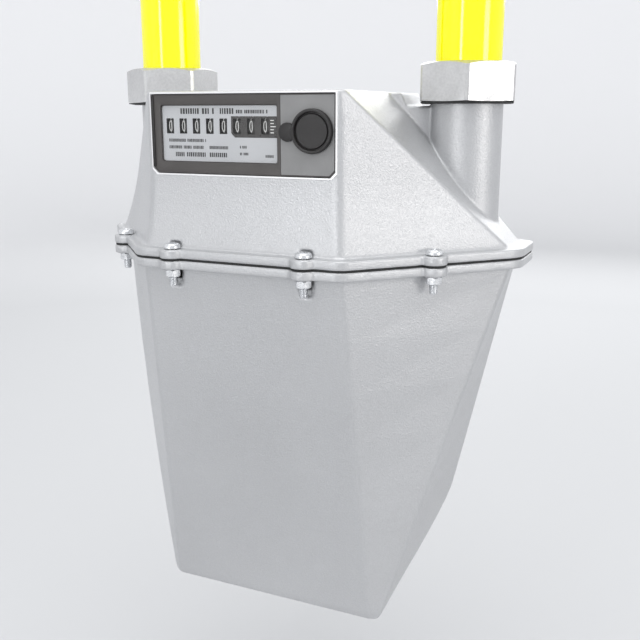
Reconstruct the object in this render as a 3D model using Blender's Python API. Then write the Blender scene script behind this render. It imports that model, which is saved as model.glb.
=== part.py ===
"""Diaphragm gas meter with two top connections, drum index and twin-diaphragm measuring unit.

All sizes are millimetres, measured from the meter datum: the centre of the line between the
two connections (X along it, Y towards the wall, Z up) at the parting plane of the case.
The datum empty stands above the world origin, which is at the bottom of the meter.
"""
import math

import bmesh
import bpy
from mathutils import Matrix, Vector

MM = 0.001

# Driving sizes
CONNECTION_SPACING = 200.0
CASE_DEPTH_BELOW = 222.0
CENTRE_TO_DATUM_Y = 36.86

# Case
FLANGE_CORNERS = [(139.6, 22.0), (-139.6, 22.0), (-139.6, -17.0),
                  (-63.2, -98.9), (63.2, -98.9), (139.6, -17.0)]
FLANGE_RADII = [8.0, 8.0, 18.0, 13.0, 13.0, 18.0]
FLANGE_GAP = 0.8
FLANGE_TOP = 5.6
GASKET_HALF = 0.5
SIDE_SLOPE = 1.072
SCREW_PLACES = [(40.8, -96.2), (100.6, -57.9), (122.0, 21.3), (42.0, 21.3)]
LUG_RADIUS = 7.2
SCREW_HOLE = 2.9
COVER_TOP = 91.5
COVER_BACK = 17.0
WALL = 3.3

# Connections
STUB_X = CONNECTION_SPACING / 2
STUB_RADIUS = 20.6
STUB_TOP = 97.6
BORE_RADIUS = 16.2
WEB_STATIONS = [(60.0, 88.5, 91.2), (66.4, 80.6, 91.2), (69.2, 77.2, 83.8), (82.5, 60.9, 83.8)]
PIPE_RADIUS = 18.8
PIPE_TOP = 168.0
NUT_BOTTOM = 84.9
NUT_TOP = 107.7
NUT_CORNER_RADIUS = 29.7

# Register
FACE_HALF = 55.6
FACE_BOTTOM = 47.4
FACE_TOP = 89.7
FACE_Y = -88.4
DRUM_COUNT = 8
DRUM_PITCH = 8.49
FIRST_DRUM_X = -45.0
DRUM_RADIUS = 10.0
DRUM_Y = -75.2
DRUM_Z = 72.9
PINION_Y = DRUM_Y + 14.0
CAP_X = 42.9
CAP_Z = 70.7

# Measuring unit
UNIT_Y = -33.0
UNIT_Z = -78.0
DIAPHRAGM_OFFSET = 13.0
FLAG_OFFSET = 24.5
FLAG_X = 40.0
FLAG_REACH = 18.0
TABLE_TOP = -12.0
CRANK_Y = -62.0
CRANK_THROW = 10.0


def clear_scene():
    for existing in list(bpy.data.objects):
        bpy.data.objects.remove(existing, do_unlink=True)


def new_collection(name):
    collection = bpy.data.collections.new(name)
    bpy.context.scene.collection.children.link(collection)
    return collection


def material(name, colour, roughness, metallic=0.0, transmission=0.0):
    made = bpy.data.materials.new(name)
    made.use_nodes = True
    shader = made.node_tree.nodes["Principled BSDF"]
    shader.inputs["Base Color"].default_value = (*colour, 1.0)
    shader.inputs["Roughness"].default_value = roughness
    shader.inputs["Metallic"].default_value = metallic
    shader.inputs["Transmission Weight"].default_value = transmission
    return made


clear_scene()
parts = new_collection("parts")
cutters = new_collection("cutters")

datum = bpy.data.objects.new("meter_datum", None)
datum.location = Vector((0.0, CENTRE_TO_DATUM_Y, CASE_DEPTH_BELOW)) * MM
parts.objects.link(datum)

case_paint = material("case_paint", (0.56, 0.57, 0.58), 0.45)
gasket_rubber = material("gasket_rubber", (0.02, 0.02, 0.02), 0.8)
zinc_steel = material("zinc_steel", (0.78, 0.79, 0.80), 0.3, 1.0)
cast_nut = material("cast_nut", (0.45, 0.45, 0.44), 0.55, 0.6)
pipe_paint = material("pipe_paint", (0.85, 0.62, 0.02), 0.35)
dark_plastic = material("dark_plastic", (0.07, 0.065, 0.062), 0.5)
clear_plastic = material("clear_plastic", (0.9, 0.9, 0.88), 0.05, 0.0, 1.0)
black_plastic = material("black_plastic", (0.015, 0.015, 0.015), 0.4)
white_plastic = material("white_plastic", (0.8, 0.8, 0.78), 0.45)
unit_plastic = material("unit_plastic", (0.30, 0.33, 0.36), 0.5)
diaphragm_rubber = material("diaphragm_rubber", (0.10, 0.06, 0.04), 0.7)
magnet_ferrite = material("magnet_ferrite", (0.08, 0.08, 0.09), 0.5, 0.3)

# Local +Z of a turned part lies along this axis.
TURN = {"X": (0.0, math.pi / 2, 0.0), "Y": (-math.pi / 2, 0.0, 0.0), "Z": (0.0, 0.0, 0.0)}


def add_part(name, bm, finish, at=(0, 0, 0), axis="Z", collection=parts):
    bmesh.ops.remove_doubles(bm, verts=bm.verts, dist=1e-6)
    bmesh.ops.recalc_face_normals(bm, faces=bm.faces)
    mesh = bpy.data.meshes.new(name)
    bm.to_mesh(mesh)
    bm.free()
    mesh.shade_smooth()
    mesh.set_sharp_from_angle(angle=math.radians(30))
    made = bpy.data.objects.new(name, mesh)
    if finish:
        mesh.materials.append(finish)
    made.parent = datum
    made.location = Vector(at) * MM
    made.rotation_euler = TURN[axis]
    collection.objects.link(made)
    return made


def arc_outline(corners, radii, steps=3):
    """Points of a convex polygon whose corners are rounded by tangent arcs."""
    points = []
    count = len(corners)
    for index, corner in enumerate(corners):
        here = Vector(corner)
        before = (Vector(corners[index - 1]) - here).normalized()
        after = (Vector(corners[(index + 1) % count]) - here).normalized()
        half_angle = before.angle(after) / 2
        radius = radii[index]
        centre = here + (before + after).normalized() * radius / math.sin(half_angle)
        start = here + before * radius / math.tan(half_angle) - centre
        sweep = (math.pi - 2 * half_angle) * (1 if before.cross(after) < 0 else -1)
        for step in range(steps + 1):
            turned = Matrix.Rotation(sweep * step / steps, 2) @ start
            points.append(centre + turned)
    return points


def inset_polygon(corners, distance):
    """A counter-clockwise convex polygon with every edge moved inwards."""
    moved = []
    count = len(corners)
    for index, corner in enumerate(corners):
        here = Vector(corner)
        before = (here - Vector(corners[index - 1])).normalized()
        after = (Vector(corners[(index + 1) % count]) - here).normalized()
        half = math.cos(before.angle(after) / 2)
        bisector = (Vector((-before.y, before.x)) + Vector((-after.y, after.x))).normalized()
        moved.append(here + bisector * distance / half)
    return moved


def loft(rings):
    """A closed solid through rings of equal count, each a height and its outline."""
    bm = bmesh.new()
    loops = []
    for height, outline in rings:
        loops.append([bm.verts.new((p[0] * MM, p[1] * MM, height * MM)) for p in outline])
    for low, high in zip(loops, loops[1:]):
        for index in range(len(low)):
            following = (index + 1) % len(low)
            bm.faces.new((low[index], low[following], high[following], high[index]))
    bm.faces.new(list(reversed(loops[0])))
    bm.faces.new(loops[-1])
    return bm


def lathe(profile, segments=40, closed=True):
    """Turn a profile of (radius, height) about Z; a closed profile makes a ring."""
    bm = bmesh.new()
    verts = [bm.verts.new((radius * MM, 0.0, height * MM)) for radius, height in profile]
    pairs = list(zip(verts, verts[1:]))
    if closed:
        pairs.append((verts[-1], verts[0]))
    edges = [bm.edges.new(pair) for pair in pairs]
    bmesh.ops.spin(bm, geom=verts + edges, cent=(0, 0, 0), axis=(0, 0, 1),
                   angle=2 * math.pi, steps=segments, use_merge=True)
    return bm


def tube(inner, outer, low, high, segments=40):
    return lathe([(inner, low), (outer, low), (outer, high), (inner, high)], segments)


def rod(radius, low, high, segments=24):
    bm = bmesh.new()
    bmesh.ops.create_cone(bm, cap_ends=True, segments=segments, radius1=radius * MM, radius2=radius * MM,
                          depth=(high - low) * MM)
    bmesh.ops.translate(bm, vec=(0, 0, (high + low) / 2 * MM), verts=bm.verts)
    return bm


def box(low, high):
    bm = bmesh.new()
    bmesh.ops.create_cube(bm, size=1.0)
    size = Vector(high) - Vector(low)
    middle = (Vector(high) + Vector(low)) / 2
    bmesh.ops.scale(bm, vec=size * MM, verts=bm.verts)
    bmesh.ops.translate(bm, vec=middle * MM, verts=bm.verts)
    return bm


def shape_with(target, operation, name, bm, at=(0, 0, 0), axis="Z"):
    """Join a helper solid to a part, or cut it out of the part."""
    helper = add_part(name, bm, None, at, axis, cutters)
    helper.hide_render = True
    helper.display_type = "WIRE"
    change = target.modifiers.new(name, "BOOLEAN")
    change.operation = operation
    change.solver = "EXACT"
    change.object = helper
    return helper


def join(target, name, bm, at=(0, 0, 0), axis="Z"):
    return shape_with(target, "UNION", name, bm, at, axis)


def cut(target, name, bm, at=(0, 0, 0), axis="Z"):
    return shape_with(target, "DIFFERENCE", name, bm, at, axis)


def screw_positions():
    """Number and place of the eight flange screws, clockwise from the right front one."""
    right = [(x, y) for x, y in SCREW_PLACES]
    left = [(-x, y) for x, y in reversed(SCREW_PLACES)]
    return list(enumerate(right + left, start=1))


def six_corners(front, side, back):
    """Counter-clockwise corners of a section that is mirrored about X = 0."""
    right = [front, side, back]
    left = [(-x, y) for x, y in reversed(right)]
    return right + left


def cover_section(height, inset):
    """Hip-roofed section of the upper cover: the side facets narrow towards the top."""
    flare = max(0.0, (FACE_BOTTOM - height) / (FACE_BOTTOM - FLANGE_TOP))
    front = (58.0 + 2.5 * flare ** 2, -88.9 - 4.6 * flare ** 2)
    side_x = front[0] + 1.6 + (COVER_TOP - height) * 0.815
    side_y = front[1] + (side_x - front[0]) * SIDE_SLOPE
    corners = six_corners(front, (side_x, side_y), (side_x, COVER_BACK))
    corners = inset_polygon(corners, inset) if inset else corners
    facet = (Vector(corners[1]) - Vector(corners[0])).length
    soft = min(5.0, max(0.3, facet * 0.3))
    return arc_outline(corners, [min(3.5, soft), soft, 6.0, 6.0, soft, min(3.5, soft)])


def case_section(depth, inset):
    """Section of the lower case: full width under the flange, nearly flat at the bottom."""
    part = depth / CASE_DEPTH_BELOW
    tail = max(0.0, (depth - 150.0) / 72.0)
    front = (61.0 + 7.5 * part, -95.2 + 33.9 * part)
    side = (134.0 - 0.275 * depth, -9.0 - 0.29 * depth + 0.0003 * depth ** 2)
    back_x = 131.0 - 0.2 * min(depth, 150.0) - 29.5 * tail ** 1.2
    back_y = 17.0 - 7.0 * (min(depth, 150.0) / 150.0) ** 2 - 62.0 * tail ** 1.5
    corners = six_corners(front, side, (back_x, back_y))
    corners = inset_polygon(corners, inset) if inset else corners
    facet = (Vector(corners[1]) - Vector(corners[0])).length
    wall = (Vector(corners[2]) - Vector(corners[1])).length
    soft = min(5.0, facet * 0.35)
    rear = min(8.0, wall * 0.35)
    radii = [min(4.0, soft), min(soft, rear), rear]
    return arc_outline(corners, radii + radii[::-1])


def shrink(outline, margin):
    """Scale an outline towards its middle so that its ends and sides move in by the margin."""
    middle = (outline[0] + outline[len(outline) // 2]) / 2
    width = max(abs(p.x) for p in outline)
    depth = max(abs(p.y - middle.y) for p in outline)
    return [Vector((p.x * (1 - margin / width), middle.y + (p.y - middle.y) * (1 - margin / depth)))
            for p in outline]


def flange_plate(low, high, inset=0.0):
    corners = inset_polygon(FLANGE_CORNERS, inset) if inset else FLANGE_CORNERS
    outline = arc_outline(corners, [max(2.0, radius - inset) for radius in FLANGE_RADII])
    return loft([(low, outline), (high, outline)])


def add_lugs(target, low, high):
    for number, (x, y) in screw_positions():
        join(target, f"{target.name}_lug_{number}", rod(LUG_RADIUS, low, high, 20), (x, y, 0))


def drill_screw_holes(target, low, high):
    for number, (x, y) in screw_positions():
        cut(target, f"{target.name}_hole_{number}", rod(SCREW_HOLE, low - 1, high + 1, 10), (x, y, 0))


def stub_web(side):
    """Solid web between the roof and a stub: it narrows towards the stub and ends below the union nut."""
    bm = bmesh.new()
    rows = []
    for x, low, high in WEB_STATIONS:
        front = -23.1 + (x - WEB_STATIONS[0][0]) * 0.577
        back = 15.8 - (x - WEB_STATIONS[0][0]) * 0.3
        corners = ((front, low), (back, low), (back, high), (front, high))
        rows.append([bm.verts.new((side * x * MM, y * MM, z * MM)) for y, z in corners])
    for near, far in zip(rows, rows[1:]):
        for index in range(4):
            following = (index + 1) % 4
            bm.faces.new((near[index], near[following], far[following], far[index]))
    bm.faces.new(rows[0])
    bm.faces.new(rows[-1])
    return bm


def build_upper_cover():
    cover = add_part("upper_cover", flange_plate(FLANGE_GAP, FLANGE_TOP), case_paint)
    add_lugs(cover, FLANGE_GAP + 0.05, FLANGE_TOP + 0.2)
    heights = [4.0, 9.0, 16.0, 26.0, 36.0, FACE_BOTTOM, 70.0, COVER_TOP - 1.2]
    outer = [(height, cover_section(height, 0.0)) for height in heights]
    outer.append((COVER_TOP, cover_section(COVER_TOP - 1.2, 1.0)))
    join(cover, "cover_body", loft(outer))
    for side, name in ((-1, "inlet"), (1, "outlet")):
        join(cover, f"{name}_stub", rod(STUB_RADIUS, 3.0, STUB_TOP, 40), (side * STUB_X, 0, 0))
        join(cover, f"{name}_web", stub_web(side))
    inner = [(height, cover_section(height, WALL)) for height in (-1.0, 26.0, FACE_BOTTOM, 87.8)]
    cavity = cut(cover, "cover_cavity", loft(inner))
    cut(cavity, "pocket_walls", box((-58.5, -99, 46.2), (58.5, -48.5, 99)))
    cut(cover, "register_pocket", box((-54.6, -84.5, 50.0), (54.6, -52.0, 87.5)))
    cut(cover, "faceplate_seat", box((-55.9, -95, 47.1), (55.9, -84.0, 90.0)))
    for side, name in ((-1, "inlet"), (1, "outlet")):
        cut(cover, f"{name}_bore", rod(BORE_RADIUS, -2.0, 120.0, 32), (side * STUB_X, 0, 0))
    drill_screw_holes(cover, FLANGE_GAP, FLANGE_TOP + 4)
    for number, (x, y) in screw_positions():
        cut(cover, f"head_seat_{number}", rod(5.4, FLANGE_TOP + 0.1, FLANGE_TOP + 9, 14), (x, y, 0))


def build_lower_case():
    case = add_part("lower_case", flange_plate(-FLANGE_TOP, -FLANGE_GAP), case_paint)
    add_lugs(case, -FLANGE_TOP - 0.2, -FLANGE_GAP - 0.05)
    depths = [4.0, 40.0, 80.0, 120.0, 150.0, 168.0, 185.0, 200.0, 212.0, 218.0]
    outer = [(-depth, case_section(depth, 0.0)) for depth in reversed(depths)]
    outer.insert(0, (-220.8, shrink(case_section(220.8, 0.0), 0.8)))
    outer.insert(0, (-CASE_DEPTH_BELOW, shrink(case_section(CASE_DEPTH_BELOW, 0.0), 2.4)))
    join(case, "case_body", loft(outer))
    inner = [(-depth, case_section(depth, WALL)) for depth in (210.0, 185.0, 150.0, 120.0, 60.0)]
    cut(case, "case_cavity", loft([*inner, (1.0, case_section(0.0, WALL))]))
    drill_screw_holes(case, -FLANGE_TOP - 6, -FLANGE_GAP)
    for number, (x, y) in screw_positions():
        cut(case, f"nut_seat_{number}", rod(5.6, -FLANGE_TOP - 14, -FLANGE_TOP - 0.1, 14), (x, y, 0))


def build_gasket():
    gasket = add_part("flange_gasket", flange_plate(-GASKET_HALF, GASKET_HALF, 0.6), gasket_rubber)
    opening = inset_polygon(six_corners((61, -95), (133, -17.5), (133, 17)), WALL)
    outline = arc_outline(opening, [4.0] * 6)
    cut(gasket, "gasket_opening", loft([(-3, outline), (3, outline)]))
    for number, (x, y) in screw_positions():
        join(gasket, f"gasket_ear_{number}", rod(LUG_RADIUS - 0.6, -0.45, 0.45, 18), (x, y, 0))
    drill_screw_holes(gasket, -GASKET_HALF, GASKET_HALF)


def build_flange_fasteners():
    head = [(0, -15.7), (1.9, -15.7), (2.45, -15.0), (2.45, 6.0),
            (4.75, 6.0), (4.75, 7.3), (3.6, 8.6), (0, 8.9)]
    for number, (x, y) in screw_positions():
        add_part(f"flange_screw_{number}", lathe(head, 14, closed=False), zinc_steel, (x, y, 0))
        nut = lathe([(2.95, -10.0), (4.6, -10.0), (4.6, -6.0), (2.95, -6.0)], 6)
        add_part(f"flange_nut_{number}", nut, zinc_steel, (x, y, 0))


def build_connection(name, side, corner_angle):
    x = side * STUB_X
    collar = [(BORE_RADIUS, 99.8), (20.3, 99.8), (20.3, 102.8), (PIPE_RADIUS, 102.8),
              (PIPE_RADIUS, PIPE_TOP), (BORE_RADIUS, PIPE_TOP)]
    add_part(f"{name}_tailpiece", lathe(collar, 36), pipe_paint, (x, 0, 0))
    washer = tube(BORE_RADIUS, 20.3, 97.9, 99.5, 24)
    add_part(f"{name}_seal_washer", washer, gasket_rubber, (x, 0, 0))
    rim = NUT_CORNER_RADIUS * 0.90
    hexagon = [(0, NUT_BOTTOM), (rim, NUT_BOTTOM), (NUT_CORNER_RADIUS, NUT_BOTTOM + 1.8),
               (NUT_CORNER_RADIUS, NUT_TOP - 1.8), (rim, NUT_TOP), (0, NUT_TOP)]
    nut = add_part(f"{name}_union_nut", lathe(hexagon, 6, closed=False), cast_nut, (x, 0, 0))
    nut.rotation_euler.z = math.radians(corner_angle)
    cut(nut, f"{name}_nut_thread", rod(21.0, NUT_BOTTOM - 5, 103.1, 36), (x, 0, 0))
    cut(nut, f"{name}_nut_bore", rod(19.2, 90.0, NUT_TOP + 5, 36), (x, 0, 0))


def build_register_housing():
    plate = add_part("register_faceplate", box((-FACE_HALF, FACE_Y, FACE_BOTTOM), (FACE_HALF, -85.6, FACE_TOP)),
                     dark_plastic)
    cut(plate, "label_recess", box((-50.3, -90, 53.6), (22.1, -86.7, 84.2)))
    cut(plate, "drum_aperture", box((-49.0, -90, 67.5), (18.6, -80, 78.3)))
    join(plate, "cap_socket", tube(9.5, 11.2, -3.0, 9.0), (CAP_X, FACE_Y + 4.0, CAP_Z), "Y")
    cut(plate, "cap_hole", rod(9.5, -4.0, 30.0, 40), (CAP_X, FACE_Y, CAP_Z), "Y")
    window = box((-50.0, -88.1, 53.9), (21.8, -87.0, 83.9))
    add_part("register_window", window, clear_plastic)
    cap = add_part("seal_cap", lathe([(0, -2.9), (10.6, -2.9), (11.5, -2.2), (11.5, -0.3), (9.2, -0.3),
                                      (9.2, 12.0), (0, 12.0)], 40, closed=False),
                   black_plastic, (CAP_X, FACE_Y, CAP_Z), "Y")
    join(cap, "cap_ear", rod(4.9, -2.4, -0.6), (28.6, FACE_Y, CAP_Z - 0.5), "Y")
    join(cap, "cap_tab", box((28.6, FACE_Y - 2.0, CAP_Z - 3.0), (CAP_X, FACE_Y - 0.5, CAP_Z + 2.0)))


def build_drums():
    left = FIRST_DRUM_X - DRUM_PITCH / 2
    right = left + DRUM_COUNT * DRUM_PITCH
    base = box((left - 2.4, -82.0, 57.0), (right + 2.4, -56.5, 59.0))
    frame = add_part("register_frame", base, white_plastic)
    for name, low, high in (("left", left - 2.4, left - 0.4), ("right", right + 0.4, right + 2.4)):
        join(frame, f"{name}_cheek", box((low, -80.0, 58.0), (high, -57.5, 78.0)))
    join(frame, "pinion_rod", rod(1.0, left - 1.5, right + 1.5, 12), (0, PINION_Y, DRUM_Z), "X")
    cut(frame, "shaft_holes", rod(1.8, left - 9, right + 9, 20), (0, DRUM_Y, DRUM_Z), "X")
    add_part("drum_shaft", rod(1.5, left - 2.3, right + 2.3, 20), zinc_steel, (0, DRUM_Y, DRUM_Z), "X")
    half = DRUM_PITCH / 2 - 0.15
    wheel = [(1.55, -half), (9.1, -half), (9.1, 1.3 - half), (DRUM_RADIUS, 1.3 - half),
             (DRUM_RADIUS, half), (1.55, half)]
    for number in range(DRUM_COUNT):
        x = FIRST_DRUM_X + number * DRUM_PITCH
        add_part(f"number_wheel_{number + 1}", lathe(wheel, 20), black_plastic, (x, DRUM_Y, DRUM_Z), "X")
    for number in range(DRUM_COUNT - 1):
        x = FIRST_DRUM_X + (number + 0.5) * DRUM_PITCH
        build_pinion(f"transfer_pinion_{number + 1}", x)


def build_pinion(name, x):
    teeth = 8
    outline = []
    for tooth in range(teeth):
        for turn, radius in ((-0.30, 2.5), (-0.14, 3.6), (0.14, 3.6), (0.30, 2.5)):
            angle = 2 * math.pi * (tooth + turn) / teeth
            outline.append((radius * math.cos(angle), radius * math.sin(angle)))
    teeth = loft([(-2.2, outline), (2.2, outline)])
    pinion = add_part(name, teeth, white_plastic, (x, PINION_Y, DRUM_Z), "X")
    cut(pinion, f"{name}_bore", rod(1.05, -5, 5, 12), (x, PINION_Y, DRUM_Z), "X")


def build_coupling():
    follower = [(0, 50.5), (9.0, 50.5), (9.0, 54.0), (2.0, 54.0), (2.0, 56.5), (0, 56.5)]
    add_part("coupling_follower", lathe(follower, 32, closed=False), magnet_ferrite, (0, CRANK_Y, 0))
    crank = [(0, -11.5), (14.0, -11.5), (14.0, -8.5), (3.0, -8.5),
             (3.0, 32.0), (9.5, 34.0), (9.5, 43.4), (0, 43.4)]
    wheel = add_part("crank_wheel", lathe(crank, 32, closed=False), unit_plastic, (0, CRANK_Y, 0))
    pin = CRANK_THROW * math.sqrt(0.5)
    join(wheel, "crank_pin", rod(1.6, -9.5, -5.0, 16), (-pin, CRANK_Y - pin, 0))


def build_measuring_unit():
    section = [(0, -3), (50, -3), (50, -12.6), (55, -12.6), (55, 12.6), (50, 12.6), (50, 3), (0, 3)]
    drum = lathe(section, 32, closed=False)
    body = add_part("measuring_body", drum, unit_plastic, (0, UNIT_Y, UNIT_Z), "Y")
    join(body, "table_neck", box((-24, UNIT_Y - 11, -34.0), (24, UNIT_Y + 11, -15.0)))
    join(body, "valve_table", box((-33, -59.0, -20.0), (33, -6.0, TABLE_TOP)))
    join(body, "crank_bearing", box((-12, -77.0, -19.0), (12, -50.0, TABLE_TOP - 0.01)))
    for number, x in ((1, -16.0), (2, 16.0)):
        for port, y in enumerate((-41.0, -29.0, -17.0), start=1):
            cut(body, f"port_{number}_{port}", box((x - 8, y - 2.5, -16.0), (x + 8, y + 2.5, -8.0)))
        valve = add_part(f"slide_valve_{number}", box((-10, -9, 0), (10, 9, 5)), white_plastic,
                         (x, -29.0, TABLE_TOP + 0.3))
        hollow = box((-7.5, -6.5, -2), (7.5, 6.5, 2.5))
        cut(valve, f"valve_hollow_{number}", hollow, (x, -29.0, TABLE_TOP + 0.3))


def membrane_profile(direction):
    """Thin ring with one rolled convolution; direction is the side that the roll bulges to."""
    inner, outer, steps, thickness = 34.0, 54.8, 6, 0.7
    middle = []
    for step in range(steps + 1):
        radius = inner + (outer - inner) * step / steps
        rolled = math.sin(math.pi * min(1.0, (radius - inner) / 16.0)) ** 2
        middle.append((radius, direction * 3.0 * rolled))
    near = [(radius, height - thickness / 2) for radius, height in middle]
    far = [(radius, height + thickness / 2) for radius, height in reversed(middle)]
    return near + far


def build_chamber(name, side):
    """One diaphragm chamber; side is -1 at the front and +1 at the back."""
    outer_end, inner_end = side * 37.0, side * 14.0
    pan = [(0, outer_end), (55, outer_end), (55, inner_end), (52.5, inner_end),
           (52.5, side * 34.5), (0, side * 34.5)]
    pan_body = lathe(pan, 32, closed=False)
    cover = add_part(f"{name}_chamber_cover", pan_body, unit_plastic, (0, UNIT_Y, UNIT_Z), "Y")
    rod_x = -side * FLAG_X
    rod_y = UNIT_Y + side * FLAG_OFFSET
    cut(cover, f"{name}_rod_hole", rod(2.6, -60, 0, 20), (rod_x, rod_y, 0))
    add_part(f"{name}_membrane", lathe(membrane_profile(side), 28), diaphragm_rubber,
             (0, UNIT_Y + side * (DIAPHRAGM_OFFSET + 0.3), UNIT_Z), "Y")
    disc = [(0, -1), (31.0, -1), (31.0, 1), (0, 1)]
    add_part(f"{name}_diaphragm_disc", lathe(disc, 24, closed=False), zinc_steel,
             (0, UNIT_Y + side * DIAPHRAGM_OFFSET, UNIT_Z), "Y")
    stem = rod(2.2, -92.0, 2.2 + side * 1.2, 16)
    flag_rod = add_part(f"{name}_flag_rod", stem, zinc_steel, (rod_x, rod_y, 0))
    low_x, high_x = sorted((rod_x, -side * 3.0))
    join(flag_rod, f"{name}_flag", box((low_x, rod_y - 1, -88.0), (high_x, rod_y + 1, -68.0)))
    level = -2.3 + side * 1.2
    tip_y = rod_y - FLAG_REACH
    join(flag_rod, f"{name}_flag_arm", box((rod_x - 2, tip_y, level + 2.3), (rod_x + 2, rod_y, level + 4.3)))
    join(flag_rod, f"{name}_link_pin", rod(1.3, level - 1.2, level + 3.3, 12), (rod_x, tip_y, 0))
    build_link(name, rod_x, tip_y, level)


def build_link(name, x, y, level):
    """Flat link from the flag arm's pin to above the crank pin, with an eye at each end."""
    pin = CRANK_THROW * math.sqrt(0.5)
    reach = Vector((-pin - x, CRANK_Y - pin - y))
    link = add_part(f"{name}_link", rod(3.2, level - 1.0, level + 1.0, 20), zinc_steel, (x, y, 0))
    bar = box((0, -1.6, level - 0.9), (reach.length, 1.6, level + 0.9))
    turned = join(link, f"{name}_link_bar", bar, (x, y, 0))
    turned.rotation_euler.z = math.atan2(reach.y, reach.x)
    join(link, f"{name}_crank_eye", rod(3.2, level - 1.0, level + 1.0, 20), (x + reach.x, y + reach.y, 0))
    cut(link, f"{name}_link_hole", rod(1.7, level - 3, level + 3, 16), (x, y, 0))


build_upper_cover()
build_lower_case()
build_gasket()
build_flange_fasteners()
build_connection("inlet", -1, 28.06)
build_connection("outlet", 1, -76.06)
build_register_housing()
build_drums()
build_coupling()
build_measuring_unit()
build_chamber("front", -1)
build_chamber("back", 1)
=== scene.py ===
"""Looks of the gas meter: cast grey case, galvanised union nuts, yellow pipe, index with drums."""
import math
import random

import bmesh
import bpy
from mathutils import Matrix, Vector


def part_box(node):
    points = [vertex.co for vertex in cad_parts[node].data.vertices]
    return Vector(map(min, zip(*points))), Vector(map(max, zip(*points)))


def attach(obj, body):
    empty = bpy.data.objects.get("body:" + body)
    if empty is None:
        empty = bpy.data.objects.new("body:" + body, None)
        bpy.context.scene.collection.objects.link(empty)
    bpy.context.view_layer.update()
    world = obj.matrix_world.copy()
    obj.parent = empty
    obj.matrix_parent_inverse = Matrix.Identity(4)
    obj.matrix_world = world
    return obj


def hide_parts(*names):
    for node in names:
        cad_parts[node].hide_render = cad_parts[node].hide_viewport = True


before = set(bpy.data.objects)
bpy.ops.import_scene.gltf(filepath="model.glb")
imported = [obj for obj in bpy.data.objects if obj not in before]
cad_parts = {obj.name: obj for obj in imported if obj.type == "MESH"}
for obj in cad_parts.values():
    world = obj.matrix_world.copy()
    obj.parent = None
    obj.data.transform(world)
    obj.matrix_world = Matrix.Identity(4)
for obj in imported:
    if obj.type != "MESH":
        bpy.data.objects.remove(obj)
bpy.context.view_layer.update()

MM = 0.001
FLOOR_HEIGHT = -0.12  # metres; the meter hangs above the floor
QUARTER = math.pi / 2
TURN = {"X": Matrix.Rotation(QUARTER, 4, "Y"), "Y": Matrix.Rotation(-QUARTER, 4, "X"), "Z": Matrix()}


def node_middle(name):
    """Middle of a CAD node's box, in metres."""
    low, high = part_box(name)
    return (Vector(low) + Vector(high)) / 2


def millimetres(point):
    """A point in metres as millimetres from the datum."""
    return (Vector(point) - DATUM) / MM


# The datum is midway between the two connections at the parting plane of the case.
DATUM = Vector((0.0, node_middle("inlet_tailpiece").y, node_middle("flange_gasket").z))

# Places and sizes in millimetres from the datum, read from the frame.
STUB_X = millimetres(node_middle("outlet_tailpiece")).x
PIPE_TOP = millimetres(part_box("inlet_tailpiece")[1]).z
CASE_DEPTH = -millimetres(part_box("lower_case")[0]).z
NUT_LOW, NUT_HIGH = (millimetres(corner).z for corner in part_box("inlet_union_nut"))
SCREWS = {number: millimetres(node_middle(f"flange_screw_{number}")) for number in range(1, 9)}
DRUMS = {number: millimetres(node_middle(f"number_wheel_{number}")) for number in range(1, 9)}
FACE_LOW, FACE_HIGH = (millimetres(corner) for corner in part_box("register_faceplate"))
CAP_PLACE = (42.9, FACE_LOW.y, 70.7)
EAR_PLACE = (28.6, FACE_LOW.y, 70.2)

# Case shape, as in the CAD. Flange corners are (x, y) seen from above.
FLANGE_CORNERS = [(139.6, 22.0), (-139.6, 22.0), (-139.6, -17.0), (-63.2, -98.9), (63.2, -98.9),
                  (139.6, -17.0)]
FLANGE_RADII = [8.0, 8.0, 18.0, 13.0, 13.0, 18.0]
FLANGE_GAP = 0.55
FLANGE_TOP = 5.6
LUG_RADIUS = 7.2
COVER_TOP = 91.5
COVER_FRONT = (58.0, -88.9)  # x and y of the front corner beside the index
COVER_FLARE = (2.5, 4.6)  # how far that corner moves out at the flange
ROOF_EDGE = 1.6
ROOF_RUN = 0.815  # mm that the side moves out for each mm down
CASE_BACK = 17.0
CASE_FRONT, CASE_TAPER = (61.0, -95.2), (7.5, 33.9)  # front corner at the flange, and its way to the bottom
BACK_BEND, BEND_LENGTH = 150.0, 72.0
WALL = 3.3
SIDE_SLOPE = 1.072
STUB_RADIUS = 20.6
STUB_TOP = 97.6
BORE_RADIUS = 16.2
# The web between roof and stub: x with its lower and upper height.
WEB_STATIONS = [(60.0, 88.5, 91.2), (66.4, 80.6, 91.2), (69.2, 77.2, 83.8), (82.5, 60.9, 83.8)]
WEB_FRONT, WEB_FRONT_RUN = -23.1, 0.577  # y at the first station, and how far it moves in per mm of x
WEB_BACK, WEB_BACK_RUN = 15.8, -0.3
SCREW_HOLE = 2.9
HEAD_SEAT, HEAD_SEAT_TOP = 5.4, 9.6
NUT_SEAT, NUT_SEAT_LOW = 5.6, -16.0
PIPE_RADIUS = 18.8
NUT_CORNER_RADIUS = 29.6
# Height of the black ring of painted shade at the bottom of each union nut
NUT_SHADE_RING_HEIGHT = 1.3
PANEL_LEFT = 24.3
LABEL_FRONT, LABEL_BACK, PRINT_PLANE = -86.96, -86.74, -86.98
BEFORE_FACE, BEHIND_FACE = -90.0, -80.0  # where cutters of the index start and end
DRUM_WINDOW = (2.4, 4.1)
CAP_SOCKET = 9.5
DRUM_RADIUS = 10.0
DRUM_HALF_WIDTH = 4.08
DIGIT_SIZE, DIGIT_STRETCH = 9.0, 0.5
DIGIT_SHIFT = 0.9
ODD_TURN = 0.037  # turns a round cutter so that none of its edges meets an edge of what it cuts


# ---------------------------------------------------------------- camera, light and floor

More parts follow.
